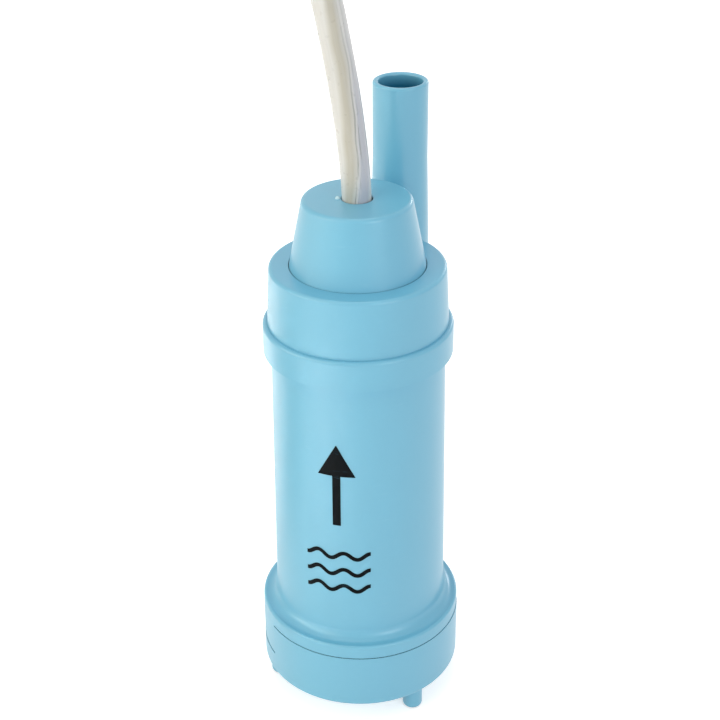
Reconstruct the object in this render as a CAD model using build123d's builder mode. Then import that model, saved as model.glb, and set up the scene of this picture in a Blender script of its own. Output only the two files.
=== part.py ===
# Submersible water pump of a caravan: 12 V motor, impeller in the base, hose spigot at the top.
# Millimetres. The pump's axis is Z, and the origin is the middle of the intake hole, in the
# underside of the base cover. The print side faces -Y.

import os
from math import cos, degrees, dist, radians, sin, tan

from build123d import *

os.makedirs("parts", exist_ok=True)

# Clearances between pieces
slide_gap = 0.15
seat_gap = 0.1
running_gap = 0.04
seam_gap = 0.12
ring_squeeze_gap = 0.03
brush_gap = 0.1
bush_gap = 0.02
bush_bore_gap = 0.08
end_gap = 0.1

# Motor
motor_radius = 13.85
can_length = 38.0
can_wall = 0.9
can_boss_radius = 5.0
can_boss_height = 2.2
bearing_radius = 3.0
bearing_length = 3.2
shaft_radius = 1.15
magnet_thickness = 3.0
magnet_start = 4.0
brush_room = 8.0
magnet_span_angle = 128.0
air_gap = 0.5
core_inset = 4.0
pole_count = 3
pole_neck = 3.2
pole_tip = 1.6
pole_span_angle = 94.0
core_hub_share = 0.295
coil_overhang = 2.2
commutator_radius = 2.9
commutator_length = 4.5
commutator_slot = 0.5
brush_width = 2.4
brush_length = 2.2
arm_thickness = 0.4
bell_thickness = 4.0
bell_plate = 1.8
bell_lip = 1.5
bell_boss_radius = 5.2
bell_boss_height = 2.6
terminal_width = 2.8
terminal_thickness = 0.5
terminal_reach = 9.2
terminal_height = 6.0
capacitor_radius = 3.4
capacitor_thickness = 2.2
capacitor_wire = 0.3
cushion_thickness = 1.6
cushion_overlap = 1.2
washer_radius = 2.6
washer_thickness = 0.5
shaft_chamfer = 0.2

# Housing
motor_gap = 1.15
barrel_wall = 1.58
barrel_draft = 0.62
web_thickness = 2.4
seat_height = 13.2
flange_overhang = 2.8
flange_height = 2.85
flange_edge = 0.5
cove_radius = 2.1
neck_depth = 3.4
rib_count = 5
rib_step_angle = 60.0
rib_thickness = 1.4
tongue_angle = 194.0
tongue_span_angle = 28.0
tongue_depth = 7.1
tongue_thickness = 1.1

# Riser and its duct
riser_angle = 65.0
riser_bore = 3.6
riser_wall = 1.6
riser_web = 0.93
port_width = 3.2
port_span_angle = 52.0
port_wall = 1.0
duct_height = 4.9
duct_wall = 1.6
duct_margin_angle = 7.0

# Base cover
cover_lip = 0.1
cover_height = 12.05
cover_wall = 2.5
cover_floor = 2.0
cover_edge = 0.9
intake_radius = 4.5
intake_chamfer = 0.4
foot_count = 3
foot_angle = 68.0
foot_radius = 2.0
foot_height = 5.3
foot_inset = 1.0
foot_round = 1.1

# Impeller and volute
impeller_radius = 12.0
hub_radius = 3.0
hub_length = 4.6
disc_thickness = 1.0
disc_gap = 0.5
vane_count = 6
vane_thickness = 1.0
vane_sweep_angle = 38.0
vane_bow_share = 0.34
eye_radius = 5.2
cutwater_gap = 0.9
volute_growth = 3.6
volute_lead_angle = 40.0
clip_radius = 2.1
clip_thickness = 0.5

# Shaft seal
seal_radius = 5.0
seal_length = 3.0
seal_lip = 1.2
hub_wall = 1.8
keeper_thickness = 0.6

# Cap and spigot
socket_depth = 4.9
skirt_length = 8.65
collar_height = 5.87
collar_wall = 1.37
collar_round = 0.7
drum_radius = 16.56
drum_draft = 0.57
drum_height = 11.3
drum_wall = 2.06
drum_round = 0.7
deck_thickness = 2.4
skirt_wall = 2.0
ring_thickness = 1.0
spigot_radius = 5.25
spigot_root = 5.87
spigot_bore = 4.2
spigot_rise = 29.2
spigot_grip = 15.0
gasket_thickness = 1.4
tip_share = 0.45

# Cone and the lead's gland
cone_radius = 12.73
cone_top_radius = 10.13
cone_height = 13.04
cone_wall = 2.0
cone_round = 0.9
cone_seat = 1.0
cone_seat_gap = 0.14
cone_ledge = 1.3
cable_radius = 2.7
cable_hole_gap = 0.13
bush_length = 8.0
seal_disc_thickness = 1.2
cone_tail = 0.8
cone_tail_wall = 1.0
cable_hole_round = 0.3

# Lead: two cores in a sheath
lead_radius = 0.95
lead_bend = 2.4
lead_lap = 1.6
core_spread = 1.25
sheath_tail = 1.5
stripped_length = 14.0
strand_radius = 0.7
strand_length = 6.0
hank_reach = 117.6
hank_straight = 28.0
fold_radius = 16.2
lane_pitch = 5.9
layer_pitch = 5.9
layer_count = 4
hank_lanes = [0, 0, 1, 1, 0, 0, 0, 1, 1, 1, 0, 0]
sample_step = 1.5
tie_thickness = 0.6
tie_width = 5.0
tie_gap = 0.1
tie_bend = 2.5
tie_head = 6.0
tie_head_height = 4.0
bend_share = 0.45

# Corners of the free lead, as shares of the hank's reach, its lane radius and the gland's height
route_shares = [
    (0, 0, 1.1392),
    (0.0008, 0, 1.2896),
    (0.0094, 0, 1.4385),
    (0.0234, 0, 1.6091),
    (0.0544, 0, 1.8838),
    (0.1667, 0.054, 2.1246),
    (0.3401, 0.181, 2.2),
    (0.5017, 0.385, 2.0826),
    (0.5910, 0.588, 1.8188),
    (0.6122, 0.769, 1.4072),
    (0.6165, 0.905, 1.0304),
    (0.6190, 0.986, 0.6681),
    (0.6505, 1, 0.3420),
    (0.7611, 1, 0.0928),
    (0.9226, 1, 0),
]

overrun = 1.0


def polar(radius, angle):
    return (radius * cos(radians(angle)), radius * sin(radians(angle)))


def ring_sector(inner, outer, middle, width):
    # A piece of a flat ring, from one radius to another, that spans width degrees about middle.
    with BuildSketch() as piece:
        with BuildLine():
            near = CenterArc((0, 0), inner, middle - width / 2, width)
            far = CenterArc((0, 0), outer, middle - width / 2, width)
            Line(near @ 0, far @ 0)
            Line(near @ 1, far @ 1)
        make_face()
    return piece.sketch


# Levels along the axis, worked out from the sizes above
neck_z = cover_height - neck_depth
web_z = neck_z + web_thickness
barrel_z = cover_height + flange_height
seat_z = web_z + seat_height
bell_z = seat_z + can_length
skirt_z = bell_z + bell_thickness + cushion_thickness
step_z = skirt_z + skirt_length
collar_z = step_z - socket_depth
barrel_length = collar_z - barrel_z
drum_z = collar_z + collar_height
deck_z = drum_z + drum_height
cone_top_z = deck_z + cone_height
spigot_z = deck_z + spigot_rise
floor_z = -foot_height

# Radii and places that follow
magnet_length = can_length - magnet_start - brush_room
core_length = magnet_length - 2 * core_inset
barrel_bore = motor_radius + motor_gap
barrel_radius = barrel_bore + barrel_wall + barrel_draft
flange_radius = barrel_radius + flange_overhang
cover_radius = flange_radius + cover_lip
neck_radius = cover_radius - cover_wall - slide_gap
riser_radius = riser_bore + riser_wall
riser_reach = barrel_bore + riser_web + riser_bore
riser_x, riser_y = polar(riser_reach, riser_angle)
groove_depth = ring_thickness + ring_squeeze_gap - slide_gap
port_outer = neck_radius - groove_depth - port_wall
port_inner = port_outer - port_width
socket_radius = barrel_radius - barrel_draft + seat_gap
collar_radius = socket_radius + collar_wall
lobe_radius = riser_radius + seat_gap + collar_wall
core_radius = motor_radius - can_wall - magnet_thickness - air_gap
core_hub_radius = shaft_radius + core_hub_share * (core_radius - shaft_radius)
along_riser = Plane(origin=(0, 0, 0), x_dir=(riser_x, riser_y, 0), z_dir=(0, 0, 1))

# Housing: neck, flange, barrel and riser in one moulding
neck_groove_z = neck_z + (neck_depth - ring_thickness) / 2
top_taper = barrel_draft * (1 + socket_depth / barrel_length)
duct_z = barrel_z + riser_radius - duct_height / 2
duct_top = duct_z + duct_height
hub_z = neck_z + web_thickness / 2 + seal_length + 2 * keeper_thickness
motor_fit = motor_radius + 2 * seat_gap
rib_inner = motor_radius - can_wall - rib_thickness
duct_span_angle = port_span_angle + 2 * duct_margin_angle

with BuildPart() as housing:
    with BuildSketch(Plane.XZ):
        with BuildLine():
            Polyline(
                (0, neck_z),
                (neck_radius, neck_z),
                (neck_radius, cover_height),
                (flange_radius, cover_height),
                (flange_radius, barrel_z),
                (barrel_radius, barrel_z),
                (barrel_radius - top_taper, step_z),
                (0, step_z),
                close=True,
            )
        make_face()
    revolve(axis=Axis.Z)
    ledge = housing.edges().filter_by_position(Axis.Z, barrel_z, barrel_z).sort_by(SortBy.LENGTH)
    fillet(ledge[0], cove_radius)
    fillet(ledge[-1], flange_edge)

    # Riser tube with a round foot on the flange
    with BuildSketch(Plane.XY.offset(barrel_z + riser_radius)):
        with Locations((riser_x, riser_y)):
            Circle(riser_radius)
    extrude(amount=step_z - gasket_thickness - barrel_z - riser_radius)
    with Locations((riser_x, riser_y, barrel_z + riser_radius)):
        Sphere(riser_radius)

    # Tongues that key the cover
    tongue_inner = flange_radius - tongue_thickness
    for turn in (0, 180):
        with BuildSketch(Plane.XY.offset(cover_height - tongue_depth)):
            add(ring_sector(tongue_inner, flange_radius, tongue_angle + turn, tongue_span_angle))
        extrude(amount=tongue_depth + flange_height / 2)

    # Room under the motor, with ribs, seal hub and duct block left standing
    with BuildSketch(Plane.XY.offset(web_z)):
        Circle(barrel_bore)
        Circle(seal_radius + hub_wall, mode=Mode.SUBTRACT)
        add(
            ring_sector(port_inner - duct_wall, barrel_radius, riser_angle, duct_span_angle),
            mode=Mode.SUBTRACT,
        )
        for rib in range(1, rib_count + 1):
            with Locations(polar((rib_inner + barrel_radius) / 2, riser_angle + rib * rib_step_angle)):
                Rectangle(
                    barrel_radius - rib_inner,
                    rib_thickness,
                    rotation=riser_angle + rib * rib_step_angle,
                    mode=Mode.SUBTRACT,
                )
    extrude(amount=seat_z - web_z, mode=Mode.SUBTRACT)
    with BuildSketch(Plane.XY.offset(hub_z)):
        Circle(seal_radius + hub_wall + overrun)
    extrude(amount=seat_z - hub_z, mode=Mode.SUBTRACT)
    with BuildSketch(Plane.XY.offset(duct_top + duct_wall)):
        Circle(barrel_bore)
        with Locations((riser_x, riser_y)):
            Circle(riser_radius, mode=Mode.SUBTRACT)
        for rib in range(1, rib_count + 1):
            with Locations(polar((rib_inner + barrel_radius) / 2, riser_angle + rib * rib_step_angle)):
                Rectangle(
                    barrel_radius - rib_inner,
                    rib_thickness,
                    rotation=riser_angle + rib * rib_step_angle,
                    mode=Mode.SUBTRACT,
                )
    extrude(amount=seat_z - duct_top - duct_wall, mode=Mode.SUBTRACT)

    # Motor room: the ribs go on as guides, and the riser's wall stands in
    with BuildSketch(Plane.XY.offset(seat_z)):
        Circle(barrel_bore)
        with Locations((riser_x, riser_y)):
            Circle(riser_radius, mode=Mode.SUBTRACT)
        for rib in range(1, rib_count + 1):
            with Locations(polar(barrel_bore, riser_angle + rib * rib_step_angle)):
                Rectangle(
                    4 * motor_gap,
                    rib_thickness,
                    rotation=riser_angle + rib * rib_step_angle,
                    mode=Mode.SUBTRACT,
                )
        Circle(motor_fit)
    extrude(amount=bell_z - seat_z, mode=Mode.SUBTRACT)
    with BuildSketch(Plane.XY.offset(bell_z)):
        Circle(barrel_bore)
    extrude(amount=step_z - bell_z + overrun, mode=Mode.SUBTRACT)

    # Water way: port in the web, duct to the riser, riser bore
    with BuildSketch(Plane.XY.offset(neck_z)):
        add(ring_sector(port_inner, port_outer, riser_angle, port_span_angle))
    extrude(amount=duct_top - neck_z, mode=Mode.SUBTRACT)
    with BuildSketch(Plane.XY.offset(duct_z)):
        with Locations(polar((port_inner + riser_reach) / 2, riser_angle)):
            Rectangle(riser_reach - port_inner, 2 * riser_bore, rotation=riser_angle)
    extrude(amount=duct_height, mode=Mode.SUBTRACT)
    with BuildSketch(Plane.XY.offset(barrel_z + riser_radius)):
        with Locations((riser_x, riser_y)):
            Circle(riser_bore)
    extrude(amount=step_z - barrel_z, mode=Mode.SUBTRACT)
    with Locations((riser_x, riser_y, barrel_z + riser_radius)):
        Sphere(riser_bore, mode=Mode.SUBTRACT)
    with BuildSketch(Plane.XY.offset(step_z - gasket_thickness)):
        with Locations((riser_x, riser_y)):
            Circle(riser_radius + seat_gap)
    extrude(amount=gasket_thickness + overrun, mode=Mode.SUBTRACT)

    # Shaft hole, seal seat and the groove for the cover's ring
    with BuildSketch(Plane.XY.offset(neck_z)):
        Circle(shaft_radius + seal_lip)
    extrude(amount=web_thickness, mode=Mode.SUBTRACT)
    with BuildSketch(Plane.XY.offset(neck_z + web_thickness / 2)):
        Circle(seal_radius)
    extrude(amount=hub_z - neck_z, mode=Mode.SUBTRACT)
    with BuildSketch(Plane.XY.offset(neck_groove_z)):
        Circle(neck_radius + overrun)
        Circle(neck_radius - groove_depth, mode=Mode.SUBTRACT)
    extrude(amount=ring_thickness + ring_squeeze_gap, mode=Mode.SUBTRACT)
housing.part.label = "pump_housing"
export_step(housing.part, "parts/pump_housing.step")
print("pump_housing", round(housing.part.volume), len(housing.part.solids()))


# Top cap: collar over the barrel, drum, deck and hose spigot in one moulding
skirt_radius = barrel_bore - seat_gap
skirt_bore = skirt_radius - skirt_wall
ring_room = ring_thickness + ring_squeeze_gap
cap_groove_z = (skirt_z + step_z - ring_room) / 2
deck_low = deck_z - deck_thickness
grip_z = spigot_z - spigot_grip
recess_radius = cone_radius + cone_seat_gap
deck_hole = cone_radius - cone_ledge

with BuildPart() as cap:
    with BuildSketch(along_riser.offset(collar_z)) as keyhole:
        Circle(collar_radius)
        with Locations(Location((riser_reach, 0, 0), (0, 0, 180))):
            Circle(lobe_radius)
        fillet(keyhole.vertices(), collar_wall)
    extrude(amount=collar_height)
    fillet(cap.faces().sort_by(Axis.Z)[-1].edges(), collar_round)
    with BuildSketch(Plane.XZ):
        with BuildLine():
            Polyline(
                (0, step_z),
                (drum_radius + drum_draft, step_z),
                (drum_radius + drum_draft, drum_z),
                (drum_radius, deck_z),
                (0, deck_z),
                close=True,
            )
        make_face()
    revolve(axis=Axis.Z)
    fillet(cap.edges().filter_by_position(Axis.Z, deck_z, deck_z), drum_round)
    with BuildSketch(Plane.XY.offset(step_z)):
        with Locations((riser_x, riser_y)):
            Circle(spigot_root)
    with BuildSketch(Plane.XY.offset(grip_z)):
        with Locations((riser_x, riser_y)):
            Circle(spigot_radius)
    loft()
    with BuildSketch(Plane.XY.offset(grip_z)):
        with Locations((riser_x, riser_y)):
            Circle(spigot_radius)
    extrude(amount=spigot_grip)

    # Socket for the barrel and the riser, then the skirt that goes into the barrel
    with BuildSketch(Plane.XY.offset(collar_z)):
        Circle(socket_radius)
        with Locations((riser_x, riser_y)):
            Circle(riser_radius + seat_gap)
    extrude(amount=socket_depth, mode=Mode.SUBTRACT)
    with BuildSketch(Plane.XY.offset(skirt_z)):
        Circle(skirt_radius)
    extrude(amount=drum_z - skirt_z)
    with BuildSketch(Plane.XY.offset(skirt_z)):
        Circle(skirt_bore)
    extrude(amount=drum_z - skirt_z, mode=Mode.SUBTRACT)
    with BuildSketch(Plane.XY.offset(drum_z)):
        Circle(drum_radius - drum_wall)
    extrude(amount=deck_low - drum_z, mode=Mode.SUBTRACT)
    with BuildSketch(Plane.XY.offset(cap_groove_z)):
        Circle(skirt_radius + overrun)
        Circle(barrel_bore - ring_room, mode=Mode.SUBTRACT)
    extrude(amount=ring_room, mode=Mode.SUBTRACT)

    # Seat of the cone in the deck, and the spigot's stepped bore
    with BuildSketch(Plane.XY.offset(deck_z - cone_seat)):
        Circle(recess_radius)
    extrude(amount=cone_seat, mode=Mode.SUBTRACT)
    with BuildSketch(Plane.XY.offset(deck_low)):
        Circle(deck_hole)
    extrude(amount=deck_thickness, mode=Mode.SUBTRACT)
    with BuildSketch(Plane.XY.offset(step_z)):
        with Locations((riser_x, riser_y)):
            Circle(riser_bore)
    extrude(amount=spigot_z - step_z, mode=Mode.SUBTRACT)
    with BuildSketch(Plane.XY.offset(deck_z + deck_thickness)):
        with Locations((riser_x, riser_y)):
            Circle(spigot_bore)
    extrude(amount=spigot_rise - deck_thickness, mode=Mode.SUBTRACT)
    tip_round = tip_share * (spigot_radius - spigot_bore)
    fillet(cap.edges().filter_by_position(Axis.Z, spigot_z, spigot_z), tip_round)
cap.part.label = "top_cap"
export_step(cap.part, "parts/top_cap.step")
print("top_cap", round(cap.part.volume), len(cap.part.solids()))

# Rings that seal the housing against the cap and the cover
with BuildPart() as cap_ring:
    with BuildSketch(Plane.XZ):
        with Locations((barrel_bore - ring_room / 2, cap_groove_z + ring_room / 2)):
            Circle(ring_thickness / 2)
    revolve(axis=Axis.Z)
cap_ring.part.label = "cap_seal_ring"
export_step(cap_ring.part, "parts/cap_seal_ring.step")

with BuildPart() as cover_ring:
    with BuildSketch(Plane.XZ):
        with Locations((neck_radius + slide_gap - ring_room / 2, neck_groove_z + ring_room / 2)):
            Circle(ring_thickness / 2)
    revolve(axis=Axis.Z)
cover_ring.part.label = "cover_seal_ring"
export_step(cover_ring.part, "parts/cover_seal_ring.step")

with BuildPart() as gasket:
    with BuildSketch(Plane.XY.offset(step_z - gasket_thickness)):
        with Locations((riser_x, riser_y)):
            Circle(riser_radius)
            Circle(riser_bore, mode=Mode.SUBTRACT)
        Circle(barrel_bore, mode=Mode.SUBTRACT)
    extrude(amount=gasket_thickness)
gasket.part.label = "riser_gasket"
export_step(gasket.part, "parts/riser_gasket.step")

# Cone with a tapered bore, and the lead's gland inside it
cone_low = deck_low - cone_tail
cone_tail_radius = deck_hole - seat_gap
cone_roof = cone_top_z - cone_wall
bore_low = cone_tail_radius - cone_tail_wall
bore_high = cone_top_radius - cone_wall
bore_slope = (bore_high - bore_low) / (cone_roof - cone_low)
cable_hole = cable_radius + cable_hole_gap
bush_z = cone_roof - bush_length
disc_z = bush_z - seal_disc_thickness

with BuildPart() as cone:
    with BuildSketch(Plane.XZ):
        with BuildLine():
            Polyline(
                (cable_hole, cone_top_z),
                (cone_top_radius, cone_top_z),
                (cone_radius, deck_z),
                (cone_radius, deck_z - cone_seat),
                (cone_tail_radius, deck_z - cone_seat),
                (cone_tail_radius, cone_low),
                (bore_low, cone_low),
                (bore_high, cone_roof),
                (cable_hole, cone_roof),
                close=True,
            )
        make_face()
    revolve(axis=Axis.Z)
    top_edges = cone.edges().filter_by_position(Axis.Z, cone_top_z, cone_top_z).sort_by(SortBy.LENGTH)
    fillet(top_edges[-1], cone_round)
    fillet(top_edges[0], cable_hole_round)
cone.part.label = "cable_cone"
export_step(cone.part, "parts/cable_cone.step")
print("cable_cone", round(cone.part.volume), len(cone.part.solids()))

with BuildPart() as bush:
    with BuildSketch(Plane.XZ):
        with BuildLine():
            Polyline(
                (cable_radius + bush_bore_gap, bush_z),
                (bore_low + bore_slope * (bush_z - cone_low) - bush_gap, bush_z),
                (bore_high - bush_gap, cone_roof),
                (cable_radius + bush_bore_gap, cone_roof),
                close=True,
            )
        make_face()
    revolve(axis=Axis.Z)
bush.part.label = "cable_seal"
export_step(bush.part, "parts/cable_seal.step")

with BuildPart() as seal_disc:
    with BuildSketch(Plane.XY.offset(disc_z)):
        Circle(bore_low + bore_slope * (bush_z - cone_low) - bush_gap)
        Circle(cable_hole, mode=Mode.SUBTRACT)
    extrude(amount=seal_disc_thickness)
seal_disc.part.label = "seal_disc"
export_step(seal_disc.part, "parts/seal_disc.step")

# Motor: can with a front boss, end bell, bearings, magnets and their spring
boss_z = seat_z - can_boss_height
can_bore = motor_radius - can_wall
bell_top = bell_z + bell_thickness
bell_boss_top = bell_top + bell_boss_height
rear_z = bell_boss_top - can_wall - bearing_length
plate_z = bell_top - bell_plate
magnet_z = seat_z + magnet_start
core_z = magnet_z + (magnet_length - core_length) / 2
commutator_z = magnet_z + magnet_length
brush_z = commutator_z + (commutator_length - brush_width) / 2

with BuildPart() as can:
    with BuildSketch(Plane.XY.offset(seat_z)):
        Circle(motor_radius)
    extrude(amount=can_length)
    with BuildSketch(Plane.XY.offset(boss_z)):
        Circle(can_boss_radius)
    extrude(amount=can_boss_height)
    with BuildSketch(Plane.XY.offset(seat_z + can_wall)):
        Circle(can_bore)
    extrude(amount=can_length - can_wall, mode=Mode.SUBTRACT)
    with BuildSketch(Plane.XY.offset(boss_z)):
        Circle(bearing_radius)
    extrude(amount=can_boss_height + can_wall, mode=Mode.SUBTRACT)
    fillet(can.edges().filter_by_position(Axis.Z, seat_z, seat_z).sort_by(SortBy.LENGTH)[-1], can_wall)
can.part.label = "motor_can"
export_step(can.part, "parts/motor_can.step")

with BuildPart() as bell:
    with BuildSketch(Plane.XY.offset(bell_z)):
        Circle(motor_radius)
    extrude(amount=bell_thickness)
    with BuildSketch(Plane.XY.offset(bell_z - bell_lip)):
        Circle(can_bore - seat_gap)
    extrude(amount=bell_lip)
    with BuildSketch(Plane.XY.offset(bell_top)):
        Circle(bell_boss_radius)
    extrude(amount=bell_boss_height)
    with BuildSketch(Plane.XY.offset(bell_z - bell_lip)):
        Circle(can_bore - seat_gap - can_wall)
    extrude(amount=plate_z - bell_z + bell_lip, mode=Mode.SUBTRACT)
    with BuildSketch(Plane.XY.offset(plate_z)):
        Circle(bearing_radius)
    extrude(amount=rear_z + bearing_length - plate_z, mode=Mode.SUBTRACT)
    with BuildSketch(Plane.XY.offset(plate_z)):
        with PolarLocations(terminal_reach, 2):
            Rectangle(terminal_thickness + seat_gap, terminal_width + seat_gap)
    extrude(amount=bell_plate, mode=Mode.SUBTRACT)
bell.part.label = "motor_bell"
export_step(bell.part, "parts/motor_bell.step")

with BuildPart() as front_bearing:
    with BuildSketch(Plane.XY.offset(boss_z)):
        Circle(bearing_radius)
        Circle(shaft_radius + running_gap, mode=Mode.SUBTRACT)
    extrude(amount=bearing_length)
front_bearing.part.label = "front_bearing"
export_step(front_bearing.part, "parts/front_bearing.step")

with BuildPart() as rear_bearing:
    with BuildSketch(Plane.XY.offset(rear_z)):
        Circle(bearing_radius)
        Circle(shaft_radius + running_gap, mode=Mode.SUBTRACT)
    extrude(amount=bearing_length)
rear_bearing.part.label = "rear_bearing"
export_step(rear_bearing.part, "parts/rear_bearing.step")

with BuildPart() as magnets:
    with BuildSketch(Plane.XY.offset(magnet_z)):
        add(ring_sector(can_bore - magnet_thickness, can_bore, 0, magnet_span_angle))
        add(ring_sector(can_bore - magnet_thickness, can_bore, 180, magnet_span_angle))
    extrude(amount=magnet_length)
magnets.part.label = "field_magnets"
export_step(magnets.part, "parts/field_magnets.step")

with BuildPart() as magnet_spring:
    with BuildSketch(Plane.XY.offset(magnet_z)):
        gap_angle = 180 - magnet_span_angle
        leg_angle = degrees(arm_thickness / can_bore)
        leg_turn = (gap_angle - leg_angle) / 2
        add(ring_sector(can_bore - arm_thickness, can_bore, 90, gap_angle))
        for side in (-1, 1):
            add(ring_sector(can_bore - magnet_thickness, can_bore, 90 + side * leg_turn, leg_angle))
    extrude(amount=magnet_length)
magnet_spring.part.label = "magnet_spring"
export_step(magnet_spring.part, "parts/magnet_spring.step")

with BuildPart() as cushion:
    with BuildSketch(Plane.XY.offset(bell_top)):
        Circle(skirt_radius)
        Circle(skirt_bore - cushion_overlap, mode=Mode.SUBTRACT)
    extrude(amount=cushion_thickness)
cushion.part.label = "motor_cushion"
export_step(cushion.part, "parts/motor_cushion.step")

# Brush gear, terminals and capacitor on the bell
arm_x = commutator_radius + brush_gap + brush_length
with BuildPart() as brushes:
    with BuildSketch(Plane.XY.offset(brush_z)):
        for side in (-1, 1):
            with Locations((side * arm_x / 2, 0)):
                Rectangle(arm_x, brush_width)
        Circle(commutator_radius + brush_gap, mode=Mode.SUBTRACT)
    extrude(amount=brush_width)
brushes.part.label = "brushes"
export_step(brushes.part, "parts/brushes.step")

with BuildPart() as arms:
    with BuildSketch(Plane.XZ):
        for side in (-1, 1):
            with BuildLine():
                Polyline(
                    (side * arm_x, brush_z),
                    (side * (arm_x + arm_thickness), brush_z),
                    (side * (arm_x + arm_thickness), plate_z - arm_thickness),
                    (side * (terminal_reach + terminal_thickness), plate_z - arm_thickness),
                    (side * (terminal_reach + terminal_thickness), plate_z),
                    (side * arm_x, plate_z),
                    close=True,
                )
            make_face()
    extrude(amount=brush_width / 2, both=True)
arms.part.label = "brush_arms"
export_step(arms.part, "parts/brush_arms.step")

with BuildPart() as terminals:
    with BuildSketch(Plane.XY.offset(plate_z)):
        with PolarLocations(terminal_reach, 2):
            Rectangle(terminal_thickness, terminal_width)
    extrude(amount=bell_plate + terminal_height)
terminals.part.label = "motor_terminals"
export_step(terminals.part, "parts/motor_terminals.step")

capacitor_z = bell_boss_top + capacitor_radius + seat_gap
capacitor_plane = Plane(origin=(0, 0, capacitor_z), x_dir=(1, 0, 0), z_dir=(0, -1, 0))
with BuildPart() as capacitor:
    with BuildSketch(capacitor_plane):
        Circle(capacitor_radius)
    extrude(amount=capacitor_thickness / 2, both=True)
    fillet(capacitor.edges().filter_by(GeomType.CIRCLE), capacitor_thickness / 3)
    with BuildSketch(Plane.YZ):
        with Locations((0, capacitor_z)):
            Circle(capacitor_wire)
    extrude(amount=terminal_reach - terminal_thickness / 2, both=True)
capacitor.part.label = "suppression_capacitor"
export_step(capacitor.part, "parts/suppression_capacitor.step")

# Shaft with the turning pieces on it
plate_top = neck_z - disc_gap
plate_bottom = plate_top - disc_thickness
hub_low = plate_top - hub_length
clip_z = hub_low - clip_thickness
shaft_low = clip_z - clip_thickness
vane_z = cover_floor + disc_gap

with BuildPart() as shaft:
    with BuildSketch(Plane.XY.offset(shaft_low)):
        Circle(shaft_radius)
    extrude(amount=rear_z + bearing_length - end_gap - shaft_low)
    chamfer(shaft.edges().filter_by(GeomType.CIRCLE), shaft_chamfer)
shaft.part.label = "motor_shaft"
export_step(shaft.part, "parts/motor_shaft.step")

with BuildPart() as core:
    with BuildSketch(Plane.XY.offset(core_z)):
        Circle(core_hub_radius)
        for pole in range(pole_count):
            pole_angle = 90 + pole * 360 / pole_count
            with Locations(polar((core_radius - pole_tip / 2) / 2, pole_angle)):
                Rectangle(core_radius - pole_tip / 2, pole_neck, rotation=pole_angle)
            add(ring_sector(core_radius - pole_tip, core_radius, pole_angle, pole_span_angle))
        Circle(shaft_radius, mode=Mode.SUBTRACT)
    extrude(amount=core_length)
core.part.label = "rotor_core"
export_step(core.part, "parts/rotor_core.step")

with BuildPart() as windings:
    for pole in range(pole_count):
        pole_angle = 90 + pole * 360 / pole_count
        with BuildSketch(Plane.XY.offset(core_z - coil_overhang)):
            add(
                ring_sector(
                    core_hub_radius + seat_gap,
                    core_radius - pole_tip - seat_gap,
                    pole_angle,
                    pole_span_angle,
                )
            )
        extrude(amount=core_length + 2 * coil_overhang)
    for pole in range(pole_count):
        pole_angle = 90 + pole * 360 / pole_count
        with BuildSketch(Plane.XY.offset(core_z)):
            with Locations(polar(core_radius / 2, pole_angle)):
                Rectangle(core_radius, pole_neck, rotation=pole_angle)
        extrude(amount=core_length, mode=Mode.SUBTRACT)
windings.part.label = "rotor_windings"
export_step(windings.part, "parts/rotor_windings.step")
print("rotor_windings", len(windings.part.solids()))

with BuildPart() as commutator:
    with BuildSketch(Plane.XY.offset(commutator_z)):
        Circle(commutator_radius)
        Circle(shaft_radius, mode=Mode.SUBTRACT)
        with PolarLocations(commutator_radius, pole_count, start_angle=30):
            Rectangle(commutator_radius / 2, commutator_slot, mode=Mode.SUBTRACT)
    extrude(amount=commutator_length)
commutator.part.label = "commutator"
export_step(commutator.part, "parts/commutator.step")

with BuildPart() as impeller:
    with BuildSketch(Plane.XY.offset(plate_bottom)):
        Circle(impeller_radius)
    extrude(amount=disc_thickness)
    with BuildSketch(Plane.XY.offset(hub_low)):
        Circle(hub_radius)
    extrude(amount=plate_bottom - hub_low)
    tip_reach = impeller_radius - vane_thickness / 2
    with BuildLine(mode=Mode.PRIVATE) as vane_line:
        ThreePointArc(
            polar(hub_radius - vane_thickness / 2, 0),
            polar((hub_radius + tip_reach) / 2, -vane_bow_share * vane_sweep_angle),
            polar(tip_reach, -vane_sweep_angle),
        )
    with BuildSketch(Plane.XY.offset(vane_z)):
        with PolarLocations(0, vane_count):
            SlotArc(vane_line.edges()[0], vane_thickness)
        Circle(eye_radius, mode=Mode.SUBTRACT)
    extrude(amount=plate_bottom - vane_z)
    with BuildSketch(Plane.XY.offset(hub_low)):
        with PolarLocations(0, vane_count):
            SlotArc(vane_line.edges()[0], vane_thickness)
    extrude(amount=plate_bottom - hub_low)
    with BuildSketch(Plane.XY.offset(hub_low)):
        Circle(shaft_radius)
    extrude(amount=hub_length, mode=Mode.SUBTRACT)
impeller.part.label = "impeller"
export_step(impeller.part, "parts/impeller.step")
print("impeller", round(impeller.part.volume), len(impeller.part.solids()))

with BuildPart() as clip:
    with BuildSketch(Plane.XY.offset(clip_z)):
        Circle(clip_radius)
        Circle(shaft_radius, mode=Mode.SUBTRACT)
    extrude(amount=clip_thickness)
clip.part.label = "impeller_clip"
export_step(clip.part, "parts/impeller_clip.step")

with BuildPart() as washers:
    for washer_z in (boss_z + bearing_length + end_gap, rear_z - end_gap - washer_thickness):
        with BuildSketch(Plane.XY.offset(washer_z)):
            Circle(washer_radius)
            Circle(shaft_radius, mode=Mode.SUBTRACT)
        extrude(amount=washer_thickness)
washers.part.label = "thrust_washers"
export_step(washers.part, "parts/thrust_washers.step")

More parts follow.
